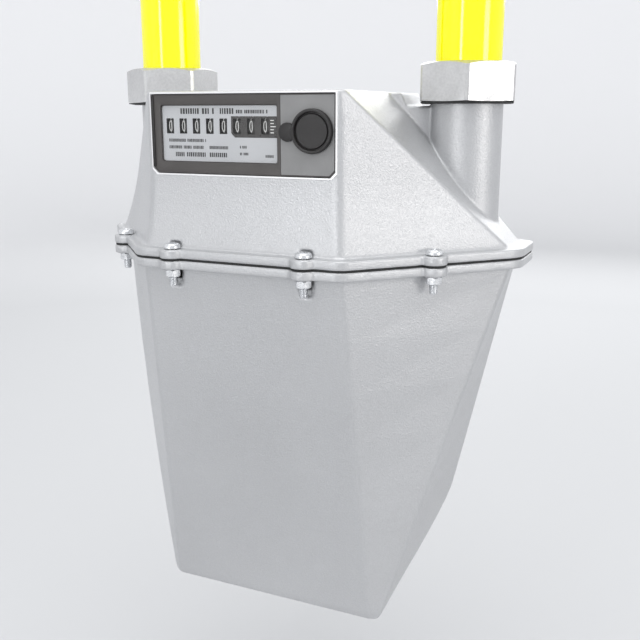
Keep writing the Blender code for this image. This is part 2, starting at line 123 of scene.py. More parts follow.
def build_camera():
    """The eye looks from the right and a little above, 13.6 degrees down."""
    yaw, pitch = math.radians(24.19), math.radians(13.61)
    eye = DATUM + Vector((0.2315, -0.4993, 0.0803))
    forward = Vector((-math.sin(yaw) * math.cos(pitch), math.cos(yaw) * math.cos(pitch), -math.sin(pitch)))
    data = bpy.data.cameras.new("camera")
    data.sensor_width = 36.0
    data.lens = 48.28
    data.clip_start = 0.01
    camera = bpy.data.objects.new("camera", data)
    camera.location = eye
    camera.rotation_euler = forward.to_track_quat("-Z", "Y").to_euler()
    bpy.context.scene.collection.objects.link(camera)
    bpy.context.scene.camera = camera


def soft_box(name, bearing, rise, distance, size, power, colour=(1.0, 1.0, 1.0)):
    """A rectangular light that faces the meter, at a bearing from +X and a height angle in degrees."""
    turn, lift = math.radians(bearing), math.radians(rise)
    aim = Vector((math.cos(turn) * math.cos(lift), math.sin(turn) * math.cos(lift), math.sin(lift)))
    data = bpy.data.lights.new(name, "AREA")
    data.shape = "RECTANGLE"
    data.size, data.size_y = size
    data.energy = power
    data.color = colour
    light = bpy.data.objects.new(name, data)
    light.location = DATUM + aim * distance
    light.rotation_euler = (-aim).to_track_quat("-Z", "Y").to_euler()
    bpy.context.scene.collection.objects.link(light)


def build_light():
    """Even pale surroundings, a warm light at the right, narrow ones in front, wide ones behind and above."""
    world = bpy.data.worlds.new("studio")
    bpy.context.scene.world = world
    world.use_nodes = True
    world.node_tree.nodes["Background"].inputs["Color"].default_value = (0.965, 0.98, 1.0, 1.0)
    world.node_tree.nodes["Background"].inputs["Strength"].default_value = 0.9
    soft_box("right", -16.0, 5.0, 1.7, (0.5, 0.4), 4.6, (1.0, 0.97, 0.94))
    soft_box("front", -100.0, 6.0, 1.9, (0.25, 0.7), 5.2)
    soft_box("left_front", -128.0, 3.0, 2.0, (0.9, 0.8), 0.6)
    soft_box("back", 96.0, 22.0, 2.0, (2.2, 0.8), 15.0)
    soft_box("top", -75.0, 76.0, 1.8, (1.6, 1.6), 18.0)
    bpy.context.scene.view_settings.view_transform = "Standard"


def build_floor():
    """Round sweep, in metres: a flat pale floor whose rim curves up on all sides."""
    flat, curve, wall_top, steps = 2.6, 1.2, 1.7, 12
    profile = [(0.0, 0.0), (flat, 0.0)]
    for step in range(1, steps + 1):
        turn = math.pi / 2 * step / steps
        profile.append((flat + curve * math.sin(turn), curve * (1 - math.cos(turn))))
    profile.append((flat + curve, wall_top))
    bm = bmesh.new()
    verts = [bm.verts.new((radius, 0, height)) for radius, height in profile]
    edges = [bm.edges.new(pair) for pair in zip(verts, verts[1:])]
    bmesh.ops.spin(bm, geom=verts + edges, cent=(0, 0, 0), axis=(0, 0, 1), angle=2 * math.pi, steps=96,
                   use_merge=True)
    bmesh.ops.remove_doubles(bm, verts=bm.verts, dist=1e-5)
    bmesh.ops.translate(bm, verts=bm.verts, vec=(0, 0, FLOOR_HEIGHT))
    mesh = bpy.data.meshes.new("floor")
    bm.to_mesh(mesh)
    bm.free()
    mesh.shade_smooth()
    floor = bpy.data.objects.new("floor", mesh)
    bpy.context.scene.collection.objects.link(floor)
    # The floor's colour is painted shading: darker near the meter, paler up the walls
    floor.data.materials.append(sweep_material("floor_pale", (0.545, 0.55, 0.56), (0.95, 0.95, 0.96)))


# ---------------------------------------------------------------- materials

def new_material(name):
    """A node material, with its node tree and its Principled shader."""
    made = bpy.data.materials.new(name)
    made.use_nodes = True
    return made, made.node_tree, made.node_tree.nodes["Principled BSDF"]


def noise(tree, scale, detail):
    """Noise in object space, in cells per metre."""
    place = tree.nodes.new("ShaderNodeTexCoord")
    texture = tree.nodes.new("ShaderNodeTexNoise")
    texture.inputs["Scale"].default_value = scale
    texture.inputs["Detail"].default_value = detail
    texture.inputs["Roughness"].default_value = 0.5
    tree.links.new(place.outputs["Object"], texture.inputs["Vector"])
    return texture.outputs["Fac"]


def ramp(tree, factor, low, high, start, end):
    """Spread a factor between two colours."""
    node = tree.nodes.new("ShaderNodeValToRGB")
    node.color_ramp.elements[0].position = start
    node.color_ramp.elements[0].color = (*low, 1.0)
    node.color_ramp.elements[1].position = end
    node.color_ramp.elements[1].color = (*high, 1.0)
    tree.links.new(factor, node.inputs["Fac"])
    return node.outputs["Color"]


def spread(tree, factor, low, high):
    """Map a factor of 0.3 to 0.7 to a range of values."""
    node = tree.nodes.new("ShaderNodeMapRange")
    node.inputs["From Min"].default_value = 0.3
    node.inputs["From Max"].default_value = 0.7
    node.inputs["To Min"].default_value = low
    node.inputs["To Max"].default_value = high
    tree.links.new(factor, node.inputs["Value"])
    return node.outputs["Result"]


def sweep_material(name, low, high):
    """Matt paper that gets paler away from the middle, in metres: painted shading, darker on the floor near
    the meter and paler up the walls.
    """
    made, tree, shader = new_material(name)
    place = tree.nodes.new("ShaderNodeTexCoord")
    length = tree.nodes.new("ShaderNodeVectorMath")
    length.operation = "LENGTH"
    rise = tree.nodes.new("ShaderNodeMapRange")
    rise.inputs["From Min"].default_value = 1.5
    rise.inputs["From Max"].default_value = 3.9
    tree.links.new(place.outputs["Object"], length.inputs[0])
    tree.links.new(length.outputs["Value"], rise.inputs["Value"])
    tree.links.new(ramp(tree, rise.outputs["Result"], low, high, 0.0, 1.0), shader.inputs["Base Color"])
    shader.inputs["Roughness"].default_value = 0.95
    return made


def add_bump(tree, shader, layers):
    """Stack bump layers, each a height and its depth in metres."""
    last = None
    for height, depth in layers:
        node = tree.nodes.new("ShaderNodeBump")
        node.inputs["Strength"].default_value = 1.0
        node.inputs["Distance"].default_value = depth
        tree.links.new(height, node.inputs["Height"])
        if last:
            tree.links.new(last, node.inputs["Normal"])
        last = node.outputs["Normal"]
    tree.links.new(last, shader.inputs["Normal"])


def textured(name, dark, light, roughness, bumps, metallic=0.0, patch=14.0, grain=900.0):
    """Two close tones in soft patches with fine grain, uneven gloss and layered bump."""
    made, tree, shader = new_material(name)
    soft = ramp(tree, noise(tree, patch, 4.0), dark, light, 0.25, 0.75)
    fine = ramp(tree, noise(tree, grain, 2.0), dark, light, 0.3, 0.7)
    half = tree.nodes.new("ShaderNodeMix")
    half.data_type = "RGBA"
    half.inputs["Factor"].default_value = 0.45
    tree.links.new(soft, half.inputs["A"])
    tree.links.new(fine, half.inputs["B"])
    tree.links.new(half.outputs["Result"], shader.inputs["Base Color"])
    tree.links.new(spread(tree, noise(tree, grain * 0.5, 3.0), *roughness), shader.inputs["Roughness"])
    shader.inputs["Metallic"].default_value = metallic
    add_bump(tree, shader, [(noise(tree, scale, 3.0), depth) for scale, depth in bumps])
    return made


def clear_material(name):
    """Clear plastic that shows what is behind it."""
    made, _, shader = new_material(name)
    shader.inputs["Base Color"].default_value = (0.95, 0.96, 0.95, 1.0)
    shader.inputs["Roughness"].default_value = 0.05
    shader.inputs["Specular IOR Level"].default_value = 0.1
    shader.inputs["Alpha"].default_value = 0.015
    return made


def build_materials():
    """Every finish of the meter by a short name."""
    table = {}
    table["case"] = textured("case_paint_cast", (0.475, 0.48, 0.49), (0.575, 0.58, 0.59), (0.30, 0.40),
                             [(170.0, 0.00003), (1000.0, 0.0002), (1900.0, 0.00012)], 0.48, 11.0, 1300.0)
    # The rim's pale paint is a painted highlight of the lit edge round the index
    table["bright"] = textured("rim_painted_highlight", (0.80, 0.80, 0.81), (0.90, 0.90, 0.90), (0.3, 0.4),
                               [(800.0, 0.00002)], 0.5, 60.0, 900.0)
    table["iron"] = textured("galvanised_iron", (0.53, 0.53, 0.53), (0.70, 0.70, 0.70), (0.28, 0.42),
                             [(260.0, 0.00003), (1200.0, 0.00007)], 0.8, 60.0, 700.0)
    table["yellow"] = textured("yellow_pipe_paint", (0.98, 0.93, 0.0), (1.0, 0.98, 0.0), (0.08, 0.12),
                               [(120.0, 0.00003), (700.0, 0.000008)], 0.0, 40.0, 500.0)
    table["yellow"].node_tree.nodes["Principled BSDF"].inputs["Specular IOR Level"].default_value = 0.6
    table["zinc"] = textured("zinc_plate", (0.62, 0.63, 0.65), (0.86, 0.87, 0.88), (0.2, 0.38),
                             [(900.0, 0.00001)], 0.9, 200.0, 2500.0)
    table["frame"] = textured("index_frame_plastic", (0.054, 0.049, 0.047), (0.073, 0.067, 0.064),
                              (0.42, 0.55), [(2600.0, 0.00002)], 0.0, 60.0, 3000.0)
    table["panel"] = textured("index_panel_grey", (0.18, 0.18, 0.18), (0.28, 0.28, 0.28), (0.4, 0.55),
                              [(2200.0, 0.00003)], 0.0, 60.0, 2600.0)
    table["block"] = textured("fraction_block_dark", (0.030, 0.028, 0.027), (0.044, 0.041, 0.040),
                              (0.45, 0.6), [(2600.0, 0.00001)], 0.0, 60.0, 3000.0)
    table["label"] = textured("label_print_grey", (0.44, 0.45, 0.465), (0.50, 0.51, 0.525), (0.35, 0.45),
                              [(900.0, 0.000004)], 0.1, 60.0, 3000.0)
    table["black"] = textured("black_moulding", (0.009, 0.008, 0.008), (0.019, 0.017, 0.017), (0.4, 0.52),
                              [(2200.0, 0.00002)], 0.0, 80.0, 2400.0)
    table["ink"] = textured("black_ink", (0.012, 0.012, 0.013), (0.02, 0.02, 0.02), (0.5, 0.6),
                            [(3000.0, 0.000002)])
    table["white"] = textured("white_print", (0.74, 0.74, 0.72), (0.84, 0.84, 0.82), (0.45, 0.6),
                              [(3000.0, 0.000002)])
    table["acetal"] = textured("white_acetal", (0.68, 0.68, 0.65), (0.78, 0.78, 0.76), (0.35, 0.5),
                               [(800.0, 0.00001)])
    table["unit"] = textured("grey_filled_plastic", (0.20, 0.22, 0.24), (0.30, 0.33, 0.35), (0.42, 0.6),
                             [(500.0, 0.00004), (2400.0, 0.00001)])
    table["rubber"] = textured("black_rubber", (0.010, 0.010, 0.010), (0.022, 0.022, 0.022), (0.6, 0.8),
                               [(1600.0, 0.00002)])
    table["membrane"] = textured("coated_cloth", (0.07, 0.04, 0.025), (0.12, 0.075, 0.05), (0.6, 0.8),
                                 [(1500.0, 0.00008)])
    table["ferrite"] = textured("bonded_ferrite", (0.05, 0.05, 0.055), (0.09, 0.09, 0.10), (0.4, 0.6),
                                [(1200.0, 0.00002)], 0.3)
    table["clear"] = clear_material("clear_window")
    return table


# ---------------------------------------------------------------- shapes

def arc_outline(corners, radii, steps=8):
    """Points of a convex polygon whose corners are rounded by tangent arcs."""
    points = []
    count = len(corners)
    for index, corner in enumerate(corners):
        here = Vector(corner)
        before = (Vector(corners[index - 1]) - here).normalized()
        after = (Vector(corners[(index + 1) % count]) - here).normalized()
        half_angle = before.angle(after) / 2
        radius = radii[index]
        centre = here + (before + after).normalized() * radius / math.sin(half_angle)
        start = here + before * radius / math.tan(half_angle) - centre
        sweep = (math.pi - 2 * half_angle) * (1 if before.cross(after) < 0 else -1)
        for step in range(steps + 1):
            points.append(centre + Matrix.Rotation(sweep * step / steps, 2) @ start)
    return points


def inset_polygon(corners, distance):
    """A counter-clockwise convex polygon with every edge moved inwards."""
    moved = []
    count = len(corners)
    for index, corner in enumerate(corners):
        here = Vector(corner)
        before = (here - Vector(corners[index - 1])).normalized()
        after = (Vector(corners[(index + 1) % count]) - here).normalized()
        half = math.cos(before.angle(after) / 2)
        bisector = (Vector((-before.y, before.x)) + Vector((-after.y, after.x))).normalized()
        moved.append(here + bisector * distance / half)
    return moved


def in_place(bm, at, axis, spin=0.0):
    """Move a shape from its own millimetre frame to the object, with local Z along the axis."""
    bmesh.ops.recalc_face_normals(bm, faces=bm.faces)
    move = Matrix.Translation(Vector(at)) @ TURN[axis] @ Matrix.Rotation(spin, 4, "Z")
    scale = Matrix.Scale(MM, 4)
    bmesh.ops.transform(bm, matrix=Matrix.Translation(DATUM) @ scale @ move, verts=bm.verts)
    return bm


def loft(rings, at=(0, 0, 0), axis="Z", spin=0.0):
    """A closed solid through rings of equal count, each a height and its outline."""
    bm = bmesh.new()
    loops = [[bm.verts.new((p[0], p[1], height)) for p in outline] for height, outline in rings]
    for low, high in zip(loops, loops[1:]):
        for index in range(len(low)):
            following = (index + 1) % len(low)
            bm.faces.new((low[index], low[following], high[following], high[index]))
    bm.faces.new(list(reversed(loops[0])))
    bm.faces.new(loops[-1])
    return in_place(bm, at, axis, spin)


def lathe(profile, at=(0, 0, 0), axis="Z", segments=96, closed=False, spin=0.0):
    """Turn a profile of (radius, height); a closed profile makes a ring."""
    bm = bmesh.new()
    verts = [bm.verts.new((radius, 0.0, height)) for radius, height in profile]
    pairs = list(zip(verts, verts[1:]))
    if closed:
        pairs.append((verts[-1], verts[0]))
    edges = [bm.edges.new(pair) for pair in pairs]
    bmesh.ops.spin(bm, geom=verts + edges, cent=(0, 0, 0), axis=(0, 0, 1), angle=2 * math.pi,
                   steps=segments, use_merge=True)
    bmesh.ops.remove_doubles(bm, verts=bm.verts, dist=1e-4)
    return in_place(bm, at, axis, spin)


def rod(radius, low, high, at=(0, 0, 0), axis="Z", segments=64, spin=0.0):
    """A plain cylinder."""
    return lathe([(0, low), (radius, low), (radius, high), (0, high)], at, axis, segments, False, spin)


def block(low, high):
    """A box between two corners."""
    bm = bmesh.new()
    bmesh.ops.create_cube(bm, size=1.0)
    bmesh.ops.scale(bm, vec=Vector(high) - Vector(low), verts=bm.verts)
    bmesh.ops.translate(bm, vec=(Vector(high) + Vector(low)) / 2, verts=bm.verts)
    return in_place(bm, (0, 0, 0), "Z")


def plate(corners, radii, front, back, steps=6):
    """A flat plate that faces the front: its outline is in X and Z, its thickness in Y."""
    outline = arc_outline(corners, radii, steps)
    bm = bmesh.new()
    near = [bm.verts.new((p.x, front, p.y)) for p in outline]
    far = [bm.verts.new((p.x, back, p.y)) for p in outline]
    for index in range(len(near)):
        following = (index + 1) % len(near)
        bm.faces.new((near[index], near[following], far[following], far[index]))
    bm.faces.new(near)
    bm.faces.new(far)
    return in_place(bm, (0, 0, 0), "Z")


def rectangle(left, low, right, high):
    """Four corners, counter-clockwise."""
    return [(left, low), (right, low), (right, high), (left, high)]


def to_object(name, bm):
    """Put a shape into the scene as an object."""
    mesh = bpy.data.meshes.new(name)
    bm.to_mesh(mesh)
    bm.free()
    made = bpy.data.objects.new(name, mesh)
    bpy.context.scene.collection.objects.link(made)
    return made


def apply_all(piece):
    """Turn the modifiers into mesh."""
    graph = bpy.context.evaluated_depsgraph_get()
    mesh = bpy.data.meshes.new_from_object(piece.evaluated_get(graph))
    piece.modifiers.clear()
    old = piece.data
    piece.data = mesh
    bpy.data.meshes.remove(old)


def combine(piece, operation, shapes):
    """Join shapes to the piece, or cut them out of it, one after the other."""
    for shape in shapes:
        helper = shape if isinstance(shape, bpy.types.Object) else to_object("helper", shape)
        change = piece.modifiers.new("combine", "BOOLEAN")
        change.operation = operation
        change.solver = "EXACT"
        change.object = helper
        apply_all(piece)
        bpy.data.objects.remove(helper, do_unlink=True)
    return piece


def round_edges(piece, width, segments=3, angle=30.0):
    """Bevel every edge sharper than the angle; the width is in millimetres."""
    bevel = piece.modifiers.new("edges", "BEVEL")
    bevel.width = width * MM
    bevel.segments = segments
    bevel.limit_method = "ANGLE"
    bevel.angle_limit = math.radians(angle)
    bevel.use_clamp_overlap = True
    apply_all(piece)
    return piece


def cast_surface(piece, voxel, passes, keep):
    """Remesh a sharp solid and relax it, so that every edge and corner is rounded as in a casting."""
    remesh = piece.modifiers.new("remesh", "REMESH")
    remesh.mode = "VOXEL"
    remesh.voxel_size = voxel * MM
    relax = piece.modifiers.new("relax", "SMOOTH")
    relax.factor = 0.5
    relax.iterations = passes
    apply_all(piece)
    thin = piece.modifiers.new("thin", "DECIMATE")
    thin.ratio = keep
    apply_all(piece)
    return piece


def finish_piece(piece, finish, body, replaced=(), angle=30.0):
    """Give a piece its material, its body and the CAD nodes that it stands for."""
    piece.data.materials.clear()
    piece.data.materials.append(finish)
    piece.data.shade_smooth()
    if angle:
        piece.data.set_sharp_from_angle(angle=math.radians(angle))
    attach(piece, body)
    if replaced:
        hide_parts(*replaced)
    return piece


# ---------------------------------------------------------------- case

def six_corners(front, side, back):
    """Counter-clockwise corners of a section that is mirrored about X = 0."""
    right = [front, side, back]
    return right + [(-x, y) for x, y in reversed(right)]


def cover_section(height, inset):
    """Section of the cover: straight hip roof above, flared towards the flange below the index."""
    flare = max(0.0, (FACE_LOW.z - height) / (FACE_LOW.z - FLANGE_TOP))
    front = (COVER_FRONT[0] + COVER_FLARE[0] * flare ** 2, COVER_FRONT[1] - COVER_FLARE[1] * flare ** 2)
    side_x = front[0] + ROOF_EDGE + (COVER_TOP - height) * ROOF_RUN
    side_y = front[1] + (side_x - front[0]) * SIDE_SLOPE
    corners = six_corners(front, (side_x, side_y), (side_x, CASE_BACK))
    corners = inset_polygon(corners, inset) if inset else corners
    facet = (Vector(corners[1]) - Vector(corners[0])).length
    soft = min(5.0, max(0.3, facet * 0.3))
    return arc_outline(corners, [soft * 1.6, soft, 6.0, 6.0, soft, soft * 1.6])


def case_section(depth, inset):
    """Section of the lower case: it tapers all round, and its back turns forward below the bend."""
    part = depth / CASE_DEPTH
    above_bend = min(depth, BACK_BEND)
    tail = max(0.0, (depth - BACK_BEND) / BEND_LENGTH)
    front = (CASE_FRONT[0] + CASE_TAPER[0] * part, CASE_FRONT[1] + CASE_TAPER[1] * part)
    side = (134.0 - 0.275 * depth, -9.0 - 0.29 * depth + 0.0003 * depth ** 2)
    back_x = 131.0 - 0.2 * above_bend - 29.5 * tail ** 1.2
    back_y = CASE_BACK - 7.0 * (above_bend / BACK_BEND) ** 2 - 62.0 * tail ** 1.5
    corners = six_corners(front, side, (back_x, back_y))
    corners = inset_polygon(corners, inset) if inset else corners
    facet = (Vector(corners[1]) - Vector(corners[0])).length
    wall = (Vector(corners[2]) - Vector(corners[1])).length
    soft = min(5.0, facet * 0.35)
    rear = min(8.0, wall * 0.35)
    radii = [min(6.0, soft * 1.2), min(soft, rear), rear]
    return arc_outline(corners, radii + radii[::-1])


def shrink(outline, margin):
    """Scale an outline towards its middle so that its ends and sides move in by the margin."""
    middle = (outline[0] + outline[len(outline) // 2]) / 2
    width = max(abs(p.x) for p in outline)
    depth = max(abs(p.y - middle.y) for p in outline)
    return [Vector((p.x * (1 - margin / width), middle.y + (p.y - middle.y) * (1 - margin / depth)))
            for p in outline]


def flange_parts(low, high):
    """Flange plate and its eight screw lugs, slightly different in height so that no faces coincide."""
    outline = arc_outline(FLANGE_CORNERS, FLANGE_RADII)
    flange = to_object("flange", loft([(low, outline), (high, outline)]))
    lean = 0.05 if high > 0 else -0.05
    lugs = [rod(LUG_RADIUS, low + lean, high + lean, (place.x, place.y, 0), "Z", 48)
            for place in SCREWS.values()]
    return combine(flange, "UNION", lugs)


def screw_cuts(radius, low, high, segments):
    """One round cutter at each flange screw."""
    return [rod(radius, low, high, (place.x, place.y, 0), "Z", segments, ODD_TURN)
            for place in SCREWS.values()]


def face_outline(margin):
    """Front opening of the register pocket: square above, with small chamfers below."""
    left, right = FACE_LOW.x - margin, FACE_HIGH.x + margin
    low, high = FACE_LOW.z - margin, FACE_HIGH.z + margin
    cut = 3.0
    return [(left + cut, low), (right - cut, low), (right, low + cut), (right, high), (left, high),
            (left, low + cut)]


def stub_web(side):
    """Solid web between the roof and a stub: it narrows towards the stub and ends below the union nut."""
    bm = bmesh.new()
    rows = []
    for x, low, high in WEB_STATIONS:
        out = x - WEB_STATIONS[0][0]
        front = WEB_FRONT + out * WEB_FRONT_RUN
        back = WEB_BACK + out * WEB_BACK_RUN
        rows.append([bm.verts.new((side * x, y, z)) for y, z in rectangle(front, low, back, high)])
    for near, far in zip(rows, rows[1:]):
        for index in range(4):
            following = (index + 1) % 4
            bm.faces.new((near[index], near[following], far[following], far[index]))
    bm.faces.new(rows[0])
    bm.faces.new(rows[-1])
    return in_place(bm, (0, 0, 0), "Z")


def build_cover():
    """Upper cover as one casting: flange, roof, stubs and webs, hollowed from below."""
    cover = flange_parts(FLANGE_GAP, FLANGE_TOP)
    cover.name = "cast_upper_cover"
    heights = [3.0, 6.0, 9.0, 13.0, 18.0, 24.0, 30.0, 36.0, 42.0, FACE_LOW.z, 60.0, 75.0, 86.0]
    heights.append(COVER_TOP - 1.2)
    outer = [(height, cover_section(height, 0.0)) for height in heights]
    outer.append((COVER_TOP - 0.4, cover_section(COVER_TOP - 1.2, 0.4)))
    outer.append((COVER_TOP, cover_section(COVER_TOP - 1.2, 1.2)))
    stubs = [rod(STUB_RADIUS, 3.0, STUB_TOP, (side * STUB_X, 0, 0), "Z", 96) for side in (-1, 1)]
    combine(cover, "UNION", [loft(outer), *stubs, stub_web(-1), stub_web(1)])
    cavity = to_object("cavity", loft([(height, cover_section(height, WALL))
                                       for height in (-1.0, 14.0, 26.0, 36.0, FACE_LOW.z, 87.8)]))
    combine(cavity, "DIFFERENCE", [block((-58.5, -99, 46.2), (58.5, -48.5, 99))])
    pocket = block((-54.6, -84.5, 50.0), (54.6, -52.0, 87.5))
    cuts = [cavity, pocket, plate(face_outline(0.3), [0.4] * 6, -95.0, -84.0, 2)]
    cuts += [rod(BORE_RADIUS, -2.0, 120.0, (side * STUB_X, 0, 0), "Z", 90, ODD_TURN) for side in (-1, 1)]
    cuts += screw_cuts(SCREW_HOLE, -1.0, 12.0, 32)
    cuts += screw_cuts(HEAD_SEAT, FLANGE_TOP + 0.02, HEAD_SEAT_TOP, 44)
    combine(cover, "DIFFERENCE", cuts)
    cast_surface(cover, 0.75, 5, 0.35)
    finish_piece(cover, MATERIALS["case"], "case", ["upper_cover"], None)


def build_case():
    """Lower case as one casting, hollowed from above."""
    case = flange_parts(-FLANGE_TOP, -FLANGE_GAP)
    case.name = "cast_lower_case"
    depths = [3.0, 12.0, 40.0, 70.0, 100.0, 130.0, 145.0, 152.0]
    depths += [160.0, 170.0, 180.0, 190.0, 200.0, 210.0, 217.0]
    outer = [(-depth, case_section(depth, 0.0)) for depth in reversed(depths)]
    bottom = case_section(CASE_DEPTH, 0.0)
    outer.insert(0, (-CASE_DEPTH + 1.2, shrink(case_section(CASE_DEPTH - 1.2, 0.0), 0.6)))
    outer.insert(0, (-CASE_DEPTH + 0.3, shrink(bottom, 1.6)))
    outer.insert(0, (-CASE_DEPTH, shrink(bottom, 2.8)))
    combine(case, "UNION", [loft(outer)])
    inner = [(-depth, case_section(depth, WALL)) for depth in (210.0, 185.0, 165.0, 150.0, 120.0, 60.0)]
    cuts = [loft([*inner, (1.0, case_section(0.0, WALL))])]
    cuts += screw_cuts(SCREW_HOLE, -12.0, 1.0, 32)
    cuts += screw_cuts(NUT_SEAT, NUT_SEAT_LOW, -FLANGE_TOP - 0.02, 44)
    combine(case, "DIFFERENCE", cuts)
    cast_surface(case, 0.95, 4, 0.3)
    finish_piece(case, MATERIALS["case"], "case", ["lower_case"], None)


# ---------------------------------------------------------------- fasteners and connections

def ridged_profile(radius, low, high, pitch):
    """Rings at the thread's pitch, which read as a thread at this size."""
    count = int((high - low) / pitch)
    depth = pitch * 0.45
    points = []
    for turn in range(count):
        base = low + turn * pitch
        points += [(radius - depth, base), (radius, base + pitch * 0.38), (radius, base + pitch * 0.55)]
    points.append((radius - depth, low + count * pitch))
    return points


def build_screw(number, place):
    """Pan head screw with a cross recess, each turned its own way."""
    at = (place.x, place.y, 0)
    profile = [(0, -15.7), (1.75, -15.7), *ridged_profile(2.45, -15.2, -1.0, 0.8), (2.4, 0.0), (2.4, 6.02),
               (4.6, 6.02), (4.75, 6.2), (4.75, 6.9)]
    for step in range(1, 9):
        turn = math.pi / 2 * step / 8
        profile.append((4.75 - 1.9 * (1 - math.cos(turn)), 6.9 + 2.0 * math.sin(turn)))
    profile.append((0, 8.9))
    screw = to_object(f"pan_head_screw_{number}", lathe(profile, at, "Z", 32))
    turn = math.radians(17 + 41 * number)
    arms = []
    for quarter in (0, 1):
        arm = loft([(7.1, [(-0.9, -0.35), (0.9, -0.35), (0.9, 0.35), (-0.9, 0.35)]),
                    (9.4, [(-2.3, -0.5), (2.3, -0.5), (2.3, 0.5), (-2.3, 0.5)])],
                   at, "Z", turn + quarter * math.pi / 2)
        arms.append(arm)
    combine(screw, "DIFFERENCE", arms)
    finish_piece(screw, MATERIALS["zinc"], "case", [f"flange_screw_{number}"])


def chamfered_hexagon(corner_radius, low, high, chamfers, at, spin):
    """A hexagon prism whose corners are turned down by a cone at its lower and upper end."""
    face_radius = corner_radius * math.cos(math.pi / 6) * 0.985
    reach = corner_radius * 1.02
    turns = [math.pi * corner / 3 for corner in range(6)]
    outline = [(reach * math.cos(turn), reach * math.sin(turn)) for turn in turns]
    prism = to_object("prism", loft([(low, outline), (high, outline)], at, "Z", spin))
    cone = [(0, low), (face_radius, low), (corner_radius, low + chamfers[0]),
            (corner_radius, high - chamfers[1]), (face_radius, high), (0, high)]
    return combine(prism, "INTERSECT", [lathe(cone, at, "Z", 96)])


def build_flange_nut(number, place):
    """Nut under the flange, with a countersunk bore."""
    at = (place.x, place.y, 0)
    nut = chamfered_hexagon(4.6, -10.0, -6.0, (0.6, 0.6), at, 0.0)
    nut.name = f"hex_nut_{number}"
    bore = [(0, -11), (3.2, -11), (2.75, -9.6), (2.75, -6.4), (3.2, -5), (0, -5)]
    combine(nut, "DIFFERENCE", [lathe(bore, at, "Z", 32)])
    finish_piece(nut, MATERIALS["zinc"], "case", [f"flange_nut_{number}"])


def build_union(name, side, corner_angle):
    """Union nut, a black ring under it that is painted shade on the nut's lower edge, and the yellow pipe
    that it holds.
    """
    at = (side * STUB_X, 0, 0)
    spin = math.radians(corner_angle)
    nut = chamfered_hexagon(NUT_CORNER_RADIUS, NUT_LOW + NUT_SHADE_RING_HEIGHT, NUT_HIGH, (0.4, 1.8), at, spin)
    nut.name = f"{name}_hex_union_nut"
    # The bottom of the nut is a black ring: painted shade standing in for the shaded underside and lower
    # chamfer
    shade_ring_top = NUT_LOW + NUT_SHADE_RING_HEIGHT - 0.05
    shade_ring = chamfered_hexagon(NUT_CORNER_RADIUS * 0.99, NUT_LOW, shade_ring_top, (0.7, 0.05), at, spin)
    shade_ring.name = f"{name}_nut_painted_shade_ring"
    combine(shade_ring, "DIFFERENCE", [rod(21.8, 80.0, 90.0, at)])
    finish_piece(shade_ring, MATERIALS["rubber"], f"{name}_nut")
    thread = [(0, NUT_LOW - 1), (22.6, NUT_LOW - 1), (21.0, NUT_LOW + 1.8), (21.0, 103.1), (0, 103.1)]
    top = [(0, 100.0), (19.2, 100.0), (19.2, NUT_HIGH - 0.8), (20.2, NUT_HIGH + 1), (0, NUT_HIGH + 1)]
    combine(nut, "DIFFERENCE", [lathe(thread, at), lathe(top, at)])
    round_edges(nut, 0.45, 3, 25.0)
    finish_piece(nut, MATERIALS["iron"], f"{name}_nut", [f"{name}_union_nut"])
    pipe = [(BORE_RADIUS, 99.8), (20.1, 99.8), (20.3, 100.0), (20.3, 102.6), (20.1, 102.8),
            (PIPE_RADIUS + 0.4, 102.8), (PIPE_RADIUS, 103.2), (PIPE_RADIUS, PIPE_TOP - 0.5),
            (PIPE_RADIUS - 0.5, PIPE_TOP), (BORE_RADIUS + 0.4, PIPE_TOP), (BORE_RADIUS, PIPE_TOP - 0.4)]
    tube = to_object(f"{name}_yellow_pipe", lathe(pipe, at, "Z", 128, True))
    finish_piece(tube, MATERIALS["yellow"], "case", [f"{name}_tailpiece"])


# ---------------------------------------------------------------- index

def build_faceplate():
    """Dark front frame of the index and the grey panel round the plug."""
    frame_plate = to_object("index_front_frame", plate(face_outline(0.0), [0.3] * 6, FACE_LOW.y, -85.6, 2))
    recess = plate(rectangle(-50.3, 53.6, 22.1, 84.2), [1.6] * 4, BEFORE_FACE, -86.7)
    aperture = block((-49.0, BEFORE_FACE, 67.5), (18.6, BEHIND_FACE, 78.3))
    socket_ring = rectangle(CAP_SOCKET, 1.5, CAP_SOCKET + 1.7, 13.0)
    socket = lathe(socket_ring, CAP_PLACE, "Y", 64, True)
    hole = rod(CAP_SOCKET, -4.0, 30.0, CAP_PLACE, "Y", 64)
    seat_outline = rectangle(PANEL_LEFT - 0.2, 47.9, 55.2, 89.3)
    panel_seat = plate(seat_outline, [0.4] * 4, BEFORE_FACE, FACE_LOW.y + 0.35, 2)
    combine(frame_plate, "DIFFERENCE", [recess, aperture, panel_seat])
    combine(frame_plate, "UNION", [socket])
    combine(frame_plate, "DIFFERENCE", [hole])
    round_edges(frame_plate, 0.18, 2, 40.0)
    finish_piece(frame_plate, MATERIALS["frame"], "case", ["register_faceplate"])
    corners = [(PANEL_LEFT, 48.1), (52.0, 48.1), (55.0, 51.1), (55.0, 89.1), (PANEL_LEFT, 89.1)]
    panel = to_object("index_grey_panel", plate(corners, [0.4] * 5, FACE_LOW.y + 0.02, FACE_LOW.y + 0.33, 3))
    combine(panel, "DIFFERENCE", [rod(CAP_SOCKET + 0.3, -4.0, 4.0, CAP_PLACE, "Y", 64)])
    finish_piece(panel, MATERIALS["panel"], "case")


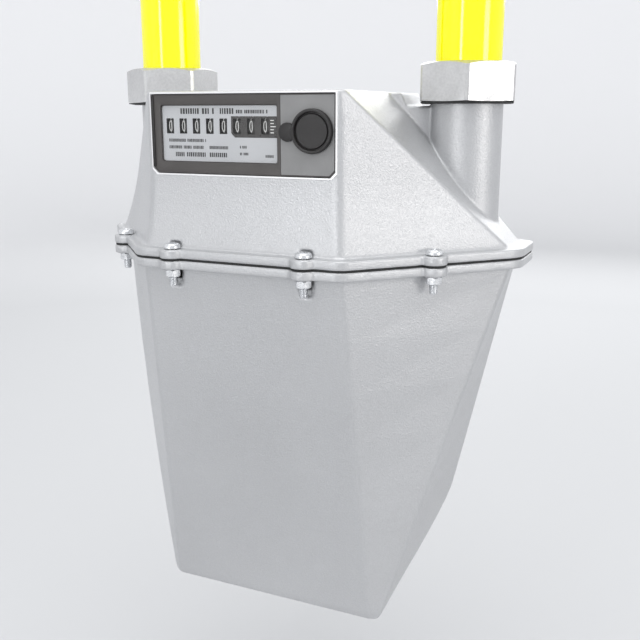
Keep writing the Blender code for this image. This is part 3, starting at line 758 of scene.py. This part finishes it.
def build_rim():
    """Fine raised edge of the cover round the index plate, painted pale as a highlight, and a black strip of
    painted shade at the plate's left side.
    """
    outline = [(x + (0.45 if x < 0 else 0.0), z) for x, z in face_outline(1.25)]
    rim = to_object("index_rim", plate(outline, [0.5] * 6, -89.35, -87.6, 3))
    combine(rim, "DIFFERENCE", [plate(face_outline(0.35), [0.3] * 6, -95.0, -80.0, 2)])
    round_edges(rim, 0.3, 3, 40.0)
    finish_piece(rim, MATERIALS["bright"], "case")
    # A black strip along the plate's left side: painted shade of the shaded inner wall there
    edge = rectangle(FACE_LOW.x - 0.3, FACE_LOW.z + 3.0, FACE_LOW.x + 1.2, FACE_HIGH.z - 0.1)
    strip = to_object("index_rim_painted_shade_strip", plate(edge, [0.3] * 4, -88.95, -88.45, 2))
    round_edges(strip, 0.15, 2, 40.0)
    finish_piece(strip, MATERIALS["black"], "case")


def build_label():
    """Grey printed plate with one opening for each whole drum and one for the dark fraction block."""
    sheet = rectangle(-49.9, 53.9, 21.75, 83.8)
    label = to_object("index_label", plate(sheet, [1.4] * 4, LABEL_FRONT, LABEL_BACK))
    block_corners = [(-4.0, 67.0), (24.75, 67.0), (24.75, 78.2), (-6.2, 78.2), (-6.2, 69.2)]
    openings = [plate(block_corners, [0.2] * 5, BEFORE_FACE, BEHIND_FACE, 2)]
    openings += [plate(drum_window(number), [0.2] * 4, BEFORE_FACE, BEHIND_FACE, 2) for number in range(1, 6)]
    combine(label, "DIFFERENCE", openings)
    finish_piece(label, MATERIALS["label"], "case")
    inner = [(-3.9, 67.1), (21.7, 67.1), (21.7, 78.1), (-6.1, 78.1), (-6.1, 69.25)]
    dark = to_object("index_fraction_block", plate(inner, [0.2] * 5, LABEL_FRONT + 0.03, LABEL_BACK, 2))
    windows = [plate(drum_window(number), [0.2] * 4, BEFORE_FACE, BEHIND_FACE, 2) for number in range(6, 9)]
    combine(dark, "DIFFERENCE", windows)
    finish_piece(dark, MATERIALS["block"], "case")
    pane = rectangle(-49.95, 53.95, 21.75, 83.85)
    window = to_object("index_window", plate(pane, [1.5] * 4, -88.05, -87.05))
    round_edges(window, 0.12, 2)
    finish_piece(window, MATERIALS["clear"], "case", ["register_window"])


def drum_window(number):
    """The opening of the label in front of one drum."""
    place = DRUMS[number]
    half_width, half_height = DRUM_WINDOW
    return rectangle(place.x - half_width, place.z - half_height, place.x + half_width, place.z + half_height)


def flat_text(name, text, size, stretch):
    """A text as a thin mesh centred on its origin, in millimetres."""
    curve = bpy.data.curves.new(name, "FONT")
    curve.body = text
    curve.size = size
    curve.extrude = 0.04
    curve.align_x = "CENTER"
    curve.align_y = "CENTER"
    holder = bpy.data.objects.new(name, curve)
    bpy.context.scene.collection.objects.link(holder)
    graph = bpy.context.evaluated_depsgraph_get()
    mesh = bpy.data.meshes.new_from_object(holder.evaluated_get(graph))
    bpy.data.objects.remove(holder, do_unlink=True)
    mesh.transform(Matrix.Diagonal((stretch, 1.0, 1.0, 1.0)))
    middle_x = (min(v.co.x for v in mesh.vertices) + max(v.co.x for v in mesh.vertices)) / 2
    middle_y = (min(v.co.y for v in mesh.vertices) + max(v.co.y for v in mesh.vertices)) / 2
    mesh.transform(Matrix.Translation((-middle_x, -middle_y, 0.0)))
    return mesh


def on_drum(mesh, place, turn):
    """Wrap a flat text onto a drum: its height runs round the drum, its depth goes outwards."""
    bm = bmesh.new()
    bm.from_mesh(mesh)
    for vert in bm.verts:
        across, up, out = vert.co
        angle = turn + up / DRUM_RADIUS
        reach = DRUM_RADIUS + 0.05 + out
        vert.co = Vector((place.x - DIGIT_SHIFT + across, place.y - reach * math.cos(angle),
                          place.z + reach * math.sin(angle)))
    return in_place(bm, (0, 0, 0), "Z")


def build_drum(number, digits):
    """One drum with its ten digits; zero faces the window at rest."""
    place = DRUMS[number]
    half = DRUM_HALF_WIDTH
    profile = [(1.6, -half), (8.6, -half), (9.1, -half + 0.3), (9.1, -half + 1.2),
               (DRUM_RADIUS - 0.25, -half + 1.3), (DRUM_RADIUS, -half + 1.55),
               (DRUM_RADIUS, half - 0.25), (DRUM_RADIUS - 0.25, half), (1.6, half)]
    finish = MATERIALS["ink"] if number < 6 else MATERIALS["block"]
    drum = to_object(f"index_drum_{number}", lathe(profile, place, "X", 96, True))
    finish_piece(drum, finish, f"wheel_{number}", [f"number_wheel_{number}"])
    whole = bmesh.new()
    for value, mesh in enumerate(digits):
        wrapped = on_drum(mesh, place, -2 * math.pi * value / 10)
        part = bpy.data.meshes.new("digit")
        wrapped.to_mesh(part)
        wrapped.free()
        whole.from_mesh(part)
        bpy.data.meshes.remove(part)
    print_mesh = to_object(f"index_digits_{number}", whole)
    finish_piece(print_mesh, MATERIALS["white"], f"wheel_{number}")


def build_marks():
    """Plain bars and ticks in place of printed words, and the fraction drum's scale."""
    random.seed(11)
    # Each row's middle height, its left and right end, and how tall its bars are
    rows = [(80.9, -38.0, -17.0, 3.0), (80.9, -13.0, -5.5, 3.0), (80.6, -3.0, 16.0, 1.9),
            (65.2, -46.0, -22.0, 1.7), (61.5, -46.0, -24.0, 1.7), (61.5, -20.0, -8.5, 1.7),
            (57.6, -42.0, -22.5, 2.4), (57.6, -20.0, -8.0, 2.4),
            (62.0, -1.0, 4.0, 1.4), (58.4, -1.0, 4.0, 1.4), (57.4, 14.5, 19.5, 1.4)]
    whole = bmesh.new()
    for height, left, right, tall in rows:
        x = left
        while x < right:
            wide = random.uniform(0.45, 0.8) * tall * 0.55
            add_flat(whole, x, height - tall / 2, x + wide, height + tall / 2)
            x += wide + tall * 0.18 + (tall * 0.5 if random.random() < 0.12 else 0.0)
    bars = to_object("label_bars", whole)
    finish_piece(bars, MATERIALS["ink"], "case")
    ticks = bmesh.new()
    for step in range(5):
        long = 1.2 if step == 2 else 0.0
        z = DRUMS[8].z + (step - 2) * 1.6
        add_flat(ticks, 17.6, z - 0.22, 19.6 + long, z + 0.22)
    scale = to_object("fraction_scale", ticks)
    finish_piece(scale, MATERIALS["white"], "case")


def add_flat(bm, left, low, right, high):
    """A thin raised print mark on the label."""
    part = bmesh.ops.create_cube(bm, size=1.0)
    verts = part["verts"]
    bmesh.ops.scale(bm, vec=((right - left) * MM, 0.06 * MM, (high - low) * MM), verts=verts)
    middle = DATUM + Vector(((left + right) / 2, PRINT_PLANE, (low + high) / 2)) * MM
    bmesh.ops.translate(bm, vec=middle, verts=verts)


def build_cap():
    """Round plug with a raised rim, and a small round ear at its left."""
    profile = [(0, -2.0), (8.6, -2.0), (9.0, -1.7), (9.2, -1.3), (9.55, -1.25), (9.75, -1.6), (9.9, -2.6),
               (10.3, -2.88), (11.0, -2.88), (11.4, -2.6), (11.5, -2.1), (11.5, -0.3), (9.2, -0.3),
               (9.2, 11.6), (8.8, 12.0), (0, 12.0)]
    cap = to_object("round_seal_cap", lathe(profile, CAP_PLACE, "Y", 96))
    ear_profile = [(0, -1.9), (4.2, -1.9), (4.7, -1.7), (4.9, -1.2), (4.9, -0.4), (0, -0.4)]
    ear = lathe(ear_profile, EAR_PLACE, "Y", 48)
    centre_x, face, centre_z = CAP_PLACE
    tab = block((EAR_PLACE[0], face - 1.7, centre_z - 2.8), (centre_x - 10, face - 0.5, centre_z + 1.8))
    combine(cap, "UNION", [ear, tab])
    finish_piece(cap, MATERIALS["black"], "seal_cap", ["seal_cap"])


# ---------------------------------------------------------------- carried-over CAD nodes

NODE_FINISH = {
    "rubber": ["flange_gasket", "inlet_seal_washer", "outlet_seal_washer"],
    "zinc": ["drum_shaft", "front_diaphragm_disc", "back_diaphragm_disc", "front_flag_rod", "back_flag_rod",
             "front_link", "back_link"],
    "acetal": ["register_frame", "slide_valve_1", "slide_valve_2",
               *(f"transfer_pinion_{number}" for number in range(1, 8))],
    "unit": ["crank_wheel", "measuring_body", "front_chamber_cover", "back_chamber_cover"],
    "membrane": ["front_membrane", "back_membrane"],
    "ferrite": ["coupling_follower"],
}


def finish_nodes():
    """Materials of the CAD nodes that stay in view or inside."""
    for finish, names in NODE_FINISH.items():
        for name in names:
            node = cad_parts[name]
            for slot in node.material_slots:
                slot.material = MATERIALS[finish]


MATERIALS = build_materials()
build_camera()
build_light()
build_floor()
build_cover()
build_case()
for screw_number, screw_place in SCREWS.items():
    build_screw(screw_number, screw_place)
    build_flange_nut(screw_number, screw_place)
build_union("inlet", -1, 28.06)
build_union("outlet", 1, -76.06)
build_rim()
build_faceplate()
build_label()
DIGITS = [flat_text(f"digit_{value}", str(value), DIGIT_SIZE, DIGIT_STRETCH) for value in range(10)]
for drum_number in DRUMS:
    build_drum(drum_number, DIGITS)
build_marks()
build_cap()
finish_nodes()
